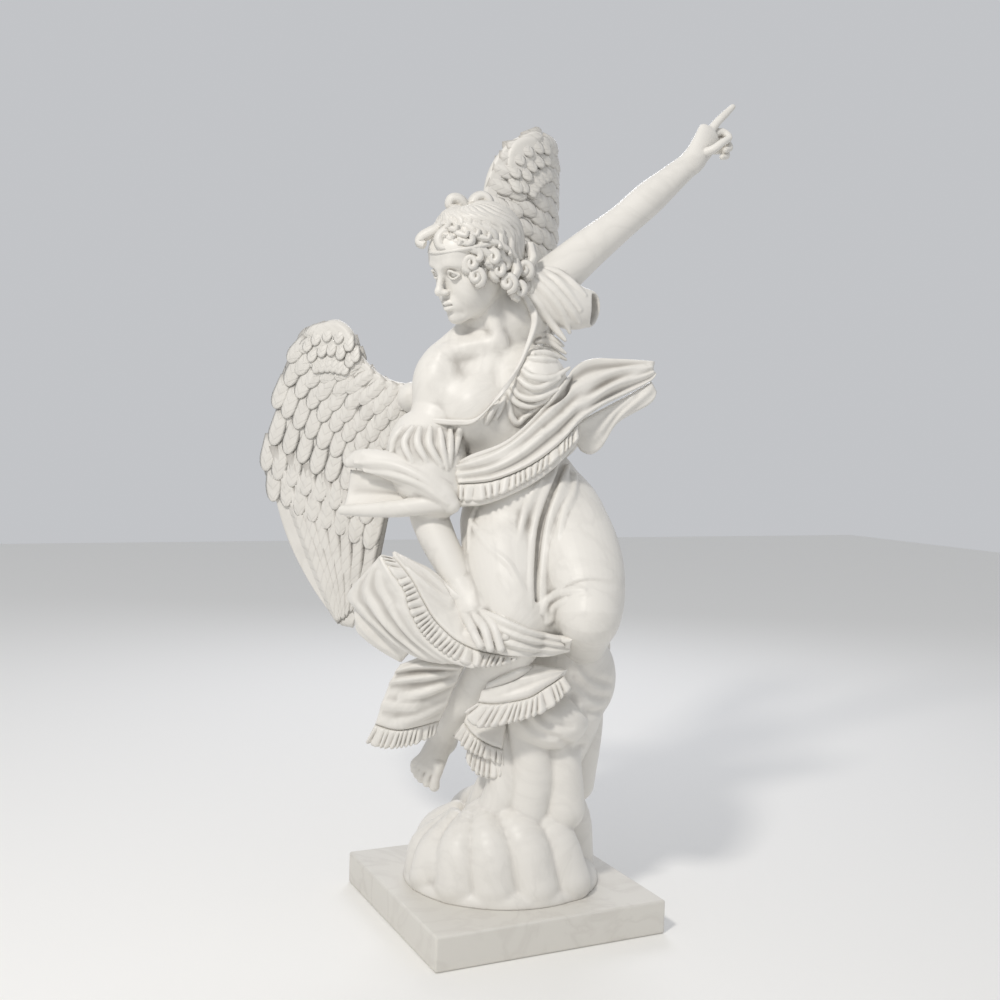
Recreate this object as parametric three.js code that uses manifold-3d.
// A carved marble angel: a winged, draped figure that leans forward off a cloud and points upward,
// standing on a square plinth. Millimetres, +Z up. The origin is the centre of the plinth's
// underside, and the plinth's front faces -Y.
import * as THREE from "three";
import { mergeVertices } from "three/addons/utils/BufferGeometryUtils.js";
import Module from "manifold-3d";

const wasm = await Module();
wasm.setup();

// Driving dimensions
const PLINTH_WIDTH = 520;
const PLINTH_HEIGHT = 71;
const PLINTH_BEVEL = 5;
const BED_GAP = 0.3; // the mortar joint between the figure and its plinth
const FIGURE_TURN = THREE.MathUtils.degToRad(-25.6); // the figure is set askew on its plinth
const CLOTH = 18; // thickness of a carved hem
const FEATHER = 16; // thickness of a carved feather
const BASE_Z = PLINTH_HEIGHT + BED_GAP;

// Landmarks of the body, in the figure's own frame: +X to its left hand, -Y in front of it
const JOINT = {
  pelvis: [43, 40, 860],
  waist: [3, 40, 962],
  ribs: [-34, 50, 1100],
  chest: [-46, 48, 1185],
  neck: [-46, 38, 1262],
  head: [-92, -12, 1398],
  rightShoulder: [-158, 14, 1152],
  rightElbow: [-184, -20, 889],
  rightWrist: [-95, -100, 691],
  rightKnuckles: [-58, -128, 646],
  rightFingers: [-18, -146, 604],
  leftShoulder: [44, 60, 1340],
  leftElbow: [232, 130, 1518],
  leftWrist: [403, 200, 1680],
  leftKnuckles: [440, 220, 1738],
  leftFingertip: [492, 250, 1812],
  leftHip: [108, 20, 850],
  leftKnee: [166, -160, 662],
  leftAnkle: [150, 100, 430],
  rightHip: [-10, 20, 845],
  rightKnee: [20, -130, 622],
  rightAnkle: [-136, 40, 372],
  rightHeel: [-128, 62, 340],
  rightToes: [-172, 14, 266],
};
const FACING = new THREE.Vector3(-0.74, -0.55, -0.38).normalize(); // where the face looks

const marble = new THREE.MeshStandardMaterial({ color: 0xe6e2da, roughness: 0.55, metalness: 0 });
const plinthMarble = new THREE.MeshStandardMaterial({ color: 0xd9d5cd, roughness: 0.6, metalness: 0 });

const vector = (p) => new THREE.Vector3(...p);
const mix = THREE.MathUtils.lerp;

// A closed three.js geometry as a solid that can be joined and cut
function solidOf(geometry) {
  geometry.deleteAttribute("normal");
  geometry.deleteAttribute("uv");
  const merged = mergeVertices(geometry, 1e-3);
  const triVerts = [];
  const corners = merged.index.array;
  for (let i = 0; i < corners.length; i += 3) {
    const [a, b, c] = corners.slice(i, i + 3);
    if (a !== b && b !== c && c !== a) triVerts.push(a, b, c);
  }
  const vertProperties = merged.attributes.position.array;
  const mesh = new wasm.Mesh({ numProp: 3, vertProperties, triVerts: new Uint32Array(triVerts) });
  return new wasm.Manifold(mesh);
}

// A solid as a three.js geometry
function geometryOf(solid) {
  const mesh = solid.getMesh();
  const geometry = new THREE.BufferGeometry();
  geometry.setAttribute("position", new THREE.BufferAttribute(mesh.vertProperties, 3));
  geometry.setIndex(new THREE.BufferAttribute(mesh.triVerts, 1));
  geometry.computeVertexNormals();
  return geometry;
}

// Moves every vertex of a geometry to where place(vertex) says
function reshape(geometry, place) {
  const position = geometry.attributes.position;
  const vertex = new THREE.Vector3();
  for (let i = 0; i < position.count; i++) {
    vertex.fromBufferAttribute(position, i);
    position.setXYZ(i, ...place(vertex));
  }
  return geometry;
}

const union = (solids) => solids.reduce((all, one) => all.add(one));

// A rounded bar through stations of [point, half width, half depth]: a limb, a trunk or a roll of cloth.
// The width lies along `across`, which turns to `acrossEnd`; flutes are carved along its length.
function bar(stations, options = {}) {
  const { sides = 10, rows = 6, across = [1, 0, 0], acrossEnd = across } = options;
  const { flutes = 0, fluteDepth = 0 } = options;
  const CAP_ROWS = 2;
  const path = new THREE.CatmullRomCurve3(stations.map(([p]) => vector(p)));
  const sizes = new THREE.CatmullRomCurve3(stations.map(([, w, d = w]) => new THREE.Vector3(w, d, 0)));
  const geometry = new THREE.CapsuleGeometry(1, rows, CAP_ROWS, sides, rows);
  return solidOf(
    reshape(geometry, ({ x, y, z }) => {
      const t = THREE.MathUtils.clamp(y / rows + 0.5, 0, 1);
      const beyond = Math.sign(y) * Math.max(0, Math.abs(y) - rows / 2);
      const size = sizes.getPoint(t);
      const along = path.getTangent(t);
      const wide = vector(across).lerp(vector(acrossEnd), t);
      wide.addScaledVector(along, -wide.dot(along)).normalize();
      const deep = wide.clone().cross(along);
      const flute = 1 + fluteDepth * Math.cos(flutes * Math.atan2(z, x));
      return path
        .getPoint(t)
        .addScaledVector(along, beyond * Math.min(size.x, size.y))
        .addScaledVector(wide, x * size.x * flute)
        .addScaledVector(deep, z * size.y * flute);
    }),
  );
}

// The same bar, from a list of points and a list of their half sizes
const roundBar = (points, sizes, options) => bar(points.map((p, i) => [p, ...sizes[i]]), options);

// An ellipsoid whose second axis points along `axis`, fluted around that axis like a carved cloud
function lobe(centre, radii, options = {}) {
  const { axis = [0, 0, 1], flutes = 0, fluteDepth = 0, sides = 12, rows = 8 } = options;
  const upright = new THREE.Vector3(0, 1, 0);
  const turn = new THREE.Quaternion().setFromUnitVectors(upright, vector(axis).normalize());
  const geometry = new THREE.SphereGeometry(1, sides, rows);
  return solidOf(
    reshape(geometry, ({ x, y, z }) => {
      const flute = 1 + fluteDepth * Math.cos(flutes * Math.atan2(z, x));
      return new THREE.Vector3(x * radii[0] * flute, y * radii[2], z * radii[1] * flute)
        .applyQuaternion(turn)
        .add(vector(centre));
    }),
  );
}

// A slab of the given thickness over the surface place(u, v), with u and v from 0 to 1
function slab(place, { thickness = CLOTH, columns = 8, rows = 2 } = {}) {
  const STEP = 0.01;
  const geometry = new THREE.BoxGeometry(1, 1, 1, columns, rows, 1);
  return solidOf(
    reshape(geometry, ({ x, y, z }) => {
      const [u, v] = [x + 0.5, y + 0.5];
      const alongU = place(u + STEP, v).sub(place(u - STEP, v));
      const alongV = place(u, v + STEP).sub(place(u, v - STEP));
      const outward = alongU.cross(alongV).normalize();
      return place(u, v).addScaledVector(outward, z * thickness);
    }),
  );
}

// A flap of cloth between a held edge and a free hem, billowing forward, with pleats that deepen to the hem
function flap(heldEdge, hemEdge, options = {}) {
  const { pleats = 0, pleatDepth = 8, billow = [0, 0, 0], ...rest } = options;
  const held = new THREE.CatmullRomCurve3(heldEdge.map(vector));
  const hem = new THREE.CatmullRomCurve3(hemEdge.map(vector));
  const PLEAT_AXIS = new THREE.Vector3(0, -1, 0);
  return slab((u, v) => {
    const t = THREE.MathUtils.clamp(u, 0, 1);
    const point = held.getPoint(t).lerp(hem.getPoint(t), v);
    point.addScaledVector(vector(billow), Math.sin(Math.PI * THREE.MathUtils.clamp(v, 0, 1)));
    return point.addScaledVector(PLEAT_AXIS, pleatDepth * v * v * Math.sin(2 * Math.PI * pleats * u));
  }, rest);
}

// Trunk, neck and head
const { pelvis, waist, ribs, chest, neck, head } = JOINT;
const SHOULDER_SLOPE = [0.82, 0.1, 0.56]; // the left shoulder is raised
const FOREHEAD_UP = new THREE.Vector3(0.05, -0.1, 1);
FOREHEAD_UP.addScaledVector(FACING, -FOREHEAD_UP.dot(FACING)).normalize();
const onHead = (forward, up) =>
  vector(head).addScaledVector(FACING, forward).addScaledVector(FOREHEAD_UP, up).toArray();

const trunk = bar(
  [
    [[55, 35, 800], 120, 100],
    [pelvis, 142, 112],
    [waist, 112, 92],
    [ribs, 126, 100],
    [chest, 128, 92],
    [neck, 66, 58],
  ],
  { sides: 14, rows: 8, across: [1, 0, 0.1], acrossEnd: SHOULDER_SLOPE },
);
const breasts = [
  lobe([-90, -30, 1082], [66, 56, 66], { sides: 10, rows: 6 }),
  lobe([28, -20, 1156], [66, 56, 66], { sides: 10, rows: 6 }),
];
const neckBar = bar([[neck, 56], [[-66, 22, 1310], 48], [onHead(-18, -60), 46]], { sides: 9, rows: 3 });
const skull = lobe(head, [78, 88, 106], { axis: FOREHEAD_UP.toArray(), sides: 12, rows: 8 });
const jaw = bar([[onHead(24, -42), 58, 52], [onHead(58, -100), 26, 22]], { sides: 9, rows: 3 });
const nose = bar([[onHead(84, -2), 9, 8], [onHead(96, -42), 12, 12]], { sides: 6, rows: 2 });

// Hair: a cap of waved locks, with curls round the temple and a knot on top
const hairCap = lobe(onHead(-16, 24), [94, 100, 98], {
  axis: FOREHEAD_UP.toArray(), flutes: 8, fluteDepth: 0.05, sides: 16, rows: 6,
});
const CURL = { sides: 7, rows: 5 };
const curls = [
  lobe([-135, -40, 1512], [24, 22, 22], CURL),
  lobe([-88, -10, 1522], [30, 26, 24], CURL),
  lobe([-166, -56, 1456], [36, 44, 32], CURL),
  lobe([-196, -66, 1442], [20, 18, 18], CURL),
  lobe([-52, -74, 1372], [30, 26, 38], CURL),
  lobe([-4, -46, 1366], [34, 32, 46], CURL),
  lobe([8, 0, 1400], [38, 38, 44], CURL),
];

// Arms
const { rightShoulder, rightElbow, rightWrist, rightKnuckles, rightFingers } = JOINT;
const rightArm = roundBar(
  [[-118, 34, 1192], rightShoulder, rightElbow, [-158, -46, 822], rightWrist],
  [[58, 54], [54, 52], [38, 38], [39, 37], [27, 22]],
  { sides: 9, rows: 8 },
);
const rightHand = roundBar([rightWrist, rightKnuckles, rightFingers], [[27, 20], [39, 17], [30, 12]], {
  sides: 8, rows: 4, across: [0.75, -0.1, 0.6],
});
const { leftShoulder, leftElbow, leftWrist, leftKnuckles, leftFingertip } = JOINT;
const leftArm = roundBar(
  [[10, 52, 1290], leftShoulder, [140, 95, 1436], leftElbow, [290, 155, 1576], leftWrist],
  [[64, 58], [55, 50], [45, 42], [38, 36], [37, 35], [25, 22]],
  { sides: 9, rows: 9, across: [0.6, 0, -0.8] },
);
const leftPalm = roundBar([leftWrist, leftKnuckles], [[26, 21], [36, 20]], {
  sides: 8, rows: 3, across: [0.8, 0.2, -0.5],
});
const pointingFinger = roundBar([[430, 214, 1730], leftFingertip], [[14, 13], [8, 8]], { sides: 6, rows: 3 });
const foldedFingers = bar([[[446, 214, 1718], 24, 20], [[486, 216, 1716], 18, 26]], { sides: 7, rows: 2 });

// Legs
const { leftHip, leftKnee, leftAnkle, rightHip, rightKnee, rightAnkle, rightHeel, rightToes } = JOINT;
const leftLeg = roundBar(
  [leftHip, [150, -82, 745], leftKnee, [160, -50, 560], leftAnkle],
  [[100, 98], [94, 92], [68, 68], [58, 60], [40, 40]],
  { sides: 10, rows: 8 },
);
const rightLeg = roundBar(
  [rightHip, [2, -70, 735], rightKnee, [-62, -50, 495], rightAnkle],
  [[100, 98], [88, 88], [60, 62], [47, 48], [29, 30]],
  { sides: 10, rows: 8 },
);
const rightFoot = roundBar([rightHeel, [-146, 40, 318], rightToes], [[28, 24], [37, 22], [34, 11]], {
  sides: 8, rows: 4, across: [0.85, 0, -0.4],
});

// Drapery that lies on the body
const skirtBack = bar([[[55, 70, 870], 120, 80], [[85, 85, 700], 125, 85], [[110, 75, 560], 110, 80]], {
  sides: 14, rows: 4, flutes: 7, fluteDepth: 0.05,
});
const skirtFront = bar([[[60, -20, 800], 110, 90], [[80, -70, 690], 105, 70], [[80, -85, 600], 100, 62]], {
  sides: 12, rows: 3, flutes: 6, fluteDepth: 0.06,
});
const bodice = roundBar(
  [[0, 5, 985], [-20, 2, 1060], [8, 10, 1190], [36, 40, 1320]],
  [[104, 84], [112, 88], [84, 74], [50, 40]],
  { sides: 12, rows: 5, acrossEnd: SHOULDER_SLOPE },
);
const rightSleeve = roundBar(
  [[-166, -6, 1055], [-172, -14, 1000], [-160, -34, 935]],
  [[64, 60], [84, 74], [78, 70]],
  { sides: 16, rows: 3, flutes: 8, fluteDepth: 0.06 },
);
const cuff = [
  roundBar(
    [[-120, -86, 884], [-165, -84, 925], [-240, -72, 960], [-338, -50, 972]],
    [[24, 26], [24, 34], [22, 34], [10, 16]],
    { sides: 8, rows: 5, across: [0, -1, 0] },
  ),
  roundBar(
    [[-122, -92, 882], [-215, -82, 878], [-352, -52, 866]],
    [[18, 14], [15, 14], [9, 9]],
    { sides: 8, rows: 4, across: [0, -1, 0] },
  ),
  flap(
    [[-150, -40, 955], [-240, -34, 962], [-326, -26, 948]],
    [[-140, -60, 882], [-240, -54, 876], [-336, -40, 868]],
    { thickness: 36, columns: 3, rows: 1 },
  ),
];
const leftSleeve = bar([[[40, 40, 1335], 66, 60], [[100, 46, 1345], 70, 52], [[158, 56, 1308], 44, 30]], {
  sides: 14, rows: 4, across: [0, 1, 0.2], flutes: 7, fluteDepth: 0.07,
});

// Drapery that flies free
const sash = flap(
  [[-125, -52, 985], [-26, -78, 977], [66, -60, 1056], [128, -26, 1137], [216, 16, 1184], [306, 44, 1195]],
  [[-120, -72, 880], [-24, -92, 892], [68, -80, 952], [142, -44, 1027], [228, 0, 1105], [299, 30, 1158]],
  { thickness: 42, columns: 10, rows: 2 },
);
const sashLining = flap(
  [[110, 50, 1080], [205, 45, 1150], [298, 52, 1180]],
  [[120, 40, 985], [200, 34, 1040], [302, 46, 1122]],
  { thickness: 26, columns: 6, rows: 1, pleats: 2 },
);
const heldSkirt = flap(
  [[-266, -112, 780], [-165, -100, 745], [-60, -80, 720], [40, -100, 690], [120, -150, 625]],
  [[-262, -134, 762], [-190, -156, 672], [-100, -172, 600], [-10, -180, 586], [80, -172, 618]],
  { thickness: 20, columns: 14, rows: 2, pleats: 5, pleatDepth: 5 },
);
const skirtLining = flap(
  [[-264, -112, 772], [-208, -130, 700], [-150, -138, 640], [-60, -120, 610]],
  [[-344, -60, 698], [-318, -64, 655], [-250, -82, 602], [-110, -84, 560]],
  { thickness: 20, columns: 6, rows: 2 },
);
const trailingDrape = flap(
  [[-226, -34, 612], [-140, -40, 620], [-30, -60, 612]],
  [[-296, -44, 384], [-214, -70, 368], [-132, -50, 380]],
  { thickness: 44, columns: 12, rows: 2, pleats: 4, pleatDepth: 8, billow: [0, -12, 0] },
);
const kneeDrape = flap(
  [[-40, -92, 600], [60, -128, 612], [150, -122, 590]],
  [[-84, -146, 452], [-24, -168, 420], [52, -164, 448], [146, -132, 528]],
  { thickness: 40, columns: 14, rows: 2, pleats: 5, pleatDepth: 6, billow: [0, -18, 0] },
);
const cascade = flap(
  [[-100, -40, 470], [-50, -56, 470], [0, -66, 460]],
  [[-138, -56, 398], [-88, -52, 330], [0, -74, 306]],
  { thickness: 40, columns: 10, rows: 2, pleats: 4, pleatDepth: 6 },
);

// Cloud: a spreading foot, a twisting stem and round lobes under the drapery
const cloud = [
  lobe([0, 0, 84], [212, 204, 128], { flutes: 9, fluteDepth: 0.02, sides: 24, rows: 8 }),
  lobe([-78, -66, 138], [118, 112, 92], { axis: [-0.4, -0.4, 1], flutes: 6, fluteDepth: 0.04, sides: 16 }),
  lobe([64, -40, 150], [128, 116, 110], { axis: [0.4, -0.2, 1], flutes: 6, fluteDepth: 0.04, sides: 16 }),
  roundBar(
    [[10, 10, 130], [36, 10, 235], [76, 6, 330], [116, 20, 450], [120, 20, 560]],
    [[128, 122], [108, 100], [92, 96], [104, 104], [104, 100]],
    { sides: 18, rows: 7, flutes: 6, fluteDepth: 0.05 },
  ),
  lobe([178, 40, 512], [66, 84, 96], { axis: [-0.15, 0, 1], flutes: 5, fluteDepth: 0.05, sides: 10 }),
  lobe([84, -76, 436], [88, 72, 62], { axis: [0.3, 0, 1], flutes: 6, fluteDepth: 0.05 }),
  lobe([128, 40, 372], [46, 62, 56], { flutes: 5, fluteDepth: 0.05, sides: 10 }),
];

// Wings. A wing is drawn flat, p outward from the shoulder blade and q upward, then set in place.
const WING_INNER = [[0, 20], [30, -127], [65, -289], [90, -420], [140, -545]];
const WING_OUTER = [[190, 166], [300, 108], [376, -104], [360, -250], [286, -400], [158, -545]];
const WING_ARM = [[-30, -20], [60, 26], [130, 66], [186, 128]];
const COVERT_ROWS = 2;
const COVERTS_PER_ROW = 5;
const PRIMARIES = 8;

const flatCurve = (points) => new THREE.CatmullRomCurve3(points.map(([p, q]) => new THREE.Vector3(p, q, 0)));
const innerEdge = flatCurve(WING_INNER);
const outerEdge = flatCurve(WING_OUTER);

// A point of the flat wing, u from the inner to the outer edge and v from the top to the tip.
// The top edge dips by `sag` between shoulder and wrist.
function onWing(u, v, sag) {
  const t = THREE.MathUtils.clamp(v, 0, 1);
  const point = innerEdge.getPoint(t).lerp(outerEdge.getPoint(t), u);
  point.y -= sag * Math.sin(Math.PI * THREE.MathUtils.clamp(u, 0, 1)) * (1 - t) ** 4;
  return point;
}

// Sets a flat wing in space: it is raised in its own plane and hung from its root. In plan it sets off
// at the angle `heading` and curls round to `headingEnd`; `side` tells which way its front looks.
function wing({ root, heading, headingEnd, raise, side, sag }) {
  const CURL_LENGTH = 250; // the part of the span that curls
  const turning = (headingEnd - heading) / CURL_LENGTH;
  const set = (flat, lift) => {
    const p = flat.x * Math.cos(raise) - flat.y * Math.sin(raise);
    const q = flat.x * Math.sin(raise) + flat.y * Math.cos(raise);
    const curled = THREE.MathUtils.clamp(p, 0, CURL_LENGTH);
    const angle = heading + turning * curled;
    const ahead = new THREE.Vector3(Math.cos(angle), Math.sin(angle), 0);
    const front = new THREE.Vector3(Math.sin(angle), -Math.cos(angle), 0).multiplyScalar(side);
    return new THREE.Vector3(Math.sin(angle) - Math.sin(heading), Math.cos(heading) - Math.cos(angle), 0)
      .divideScalar(turning)
      .add(new THREE.Vector3(0, 0, q))
      .add(vector(root))
      .addScaledVector(ahead, p - curled)
      .addScaledVector(front, lift);
  };
  const blade = slab((u, v) => set(onWing(u, 0.94 * v, sag), 0), {
    thickness: FEATHER + 8, columns: 5, rows: 6,
  });
  const arm = roundBar(
    WING_ARM.map(([p, q]) => set(new THREE.Vector3(p, q, 0), 0).toArray()),
    [[46, 40], [40, 34], [34, 28], [28, 22]],
    { sides: 9, rows: 5 },
  );
  // A feather lies from base to tip, round at its end
  const feather = (base, tip, width, lift) => {
    const along = tip.clone().sub(base);
    const across = new THREE.Vector3(along.y, -along.x, 0).normalize();
    return slab(
      (u, v) => {
        const round = Math.sqrt(Math.max(0.04, 1 - Math.max(0, (v - 0.7) / 0.3) ** 2));
        const flat = base.clone().addScaledVector(along, v);
        return set(flat.addScaledVector(across, (u - 0.5) * width * round), lift);
      },
      { thickness: FEATHER, columns: 1, rows: 3 },
    );
  };
  const feathers = [];
  for (let row = 0; row < COVERT_ROWS; row++) {
    for (let i = 0; i < COVERTS_PER_ROW; i++) {
      const u = (i + 0.5 + 0.25 * (row % 2)) / COVERTS_PER_ROW;
      const v = mix(0.06, 0.36, row / (COVERT_ROWS - 1));
      const lift = 16 - 5 * row;
      feathers.push(feather(onWing(u * 0.94, v, sag), onWing(u * 0.96, v + 0.24, sag), 52, lift));
    }
  }
  for (let i = 0; i < PRIMARIES; i++) {
    const u = i / (PRIMARIES - 1);
    const reach = 0.97 - 0.52 * Math.abs(u - 0.42) ** 1.4;
    const base = onWing(mix(0.08, 0.92, u), 0.5, sag);
    feathers.push(feather(base, onWing(mix(0.04, 0.96, u), reach, sag), 46, 2));
  }
  return union([blade, arm, ...feathers]);
}

const degrees = THREE.MathUtils.degToRad;
const rightWing = wing({
  root: [-222, 124, 1118], heading: degrees(168), headingEnd: degrees(154), raise: 0, side: -1, sag: 40,
});
const leftWing = wing({
  root: [-62, 150, 1440], heading: degrees(10), headingEnd: degrees(92),
  raise: degrees(40), side: 1, sag: -36,
});
// Shoulder blades that carry the wings
const wingRoots = [
  roundBar([[-60, 90, 1150], [-150, 112, 1130], [-250, 130, 1140]], [[62, 50], [54, 44], [44, 34]], {
    sides: 8, rows: 3,
  }),
  roundBar([[-10, 96, 1250], [-30, 122, 1370], [-42, 140, 1450]], [[62, 52], [56, 46], [44, 38]], {
    sides: 8, rows: 3,
  }),
];

// The figure is carved from one block, so everything is joined and cut flat on its bed
const BLOCK = 4000;
const bed = new THREE.BoxGeometry(BLOCK, BLOCK, BLOCK).translate(0, 0, BASE_Z + BLOCK / 2);
const SMALLEST_FACET = 3;
const joined = union([
  trunk, ...breasts, neckBar, skull, jaw, nose, hairCap, ...curls,
  rightArm, rightHand, leftArm, leftPalm, pointingFinger, foldedFingers,
  leftLeg, rightLeg, rightFoot,
  skirtBack, skirtFront, bodice, rightSleeve, ...cuff, leftSleeve,
  sash, sashLining, heldSkirt, skirtLining, trailingDrape, kneeDrape, cascade,
  ...cloud, rightWing, leftWing, ...wingRoots,
]).intersect(solidOf(bed)).simplify(SMALLEST_FACET);
// Only the outer skin is kept, so no pocket is left sealed inside the block
const [carving] = joined.decompose().sort((a, b) => b.volume() - a.volume());

const angel = new THREE.Mesh(geometryOf(carving), marble);
angel.name = "angel";
angel.rotation.z = FIGURE_TURN;

// Plinth: a square slab with its edges eased
const half = PLINTH_WIDTH / 2 - PLINTH_BEVEL;
const outline = new THREE.Shape([
  new THREE.Vector2(-half, -half),
  new THREE.Vector2(half, -half),
  new THREE.Vector2(half, half),
  new THREE.Vector2(-half, half),
]);
const plinthGeometry = new THREE.ExtrudeGeometry(outline, {
  depth: PLINTH_HEIGHT - 2 * PLINTH_BEVEL,
  bevelThickness: PLINTH_BEVEL,
  bevelSize: PLINTH_BEVEL,
  bevelSegments: 2,
});
const plinth = new THREE.Mesh(plinthGeometry, plinthMarble);
plinth.name = "plinth";
plinth.position.z = PLINTH_BEVEL;

const statue = new THREE.Group();
statue.add(plinth, angel);
export default statue;
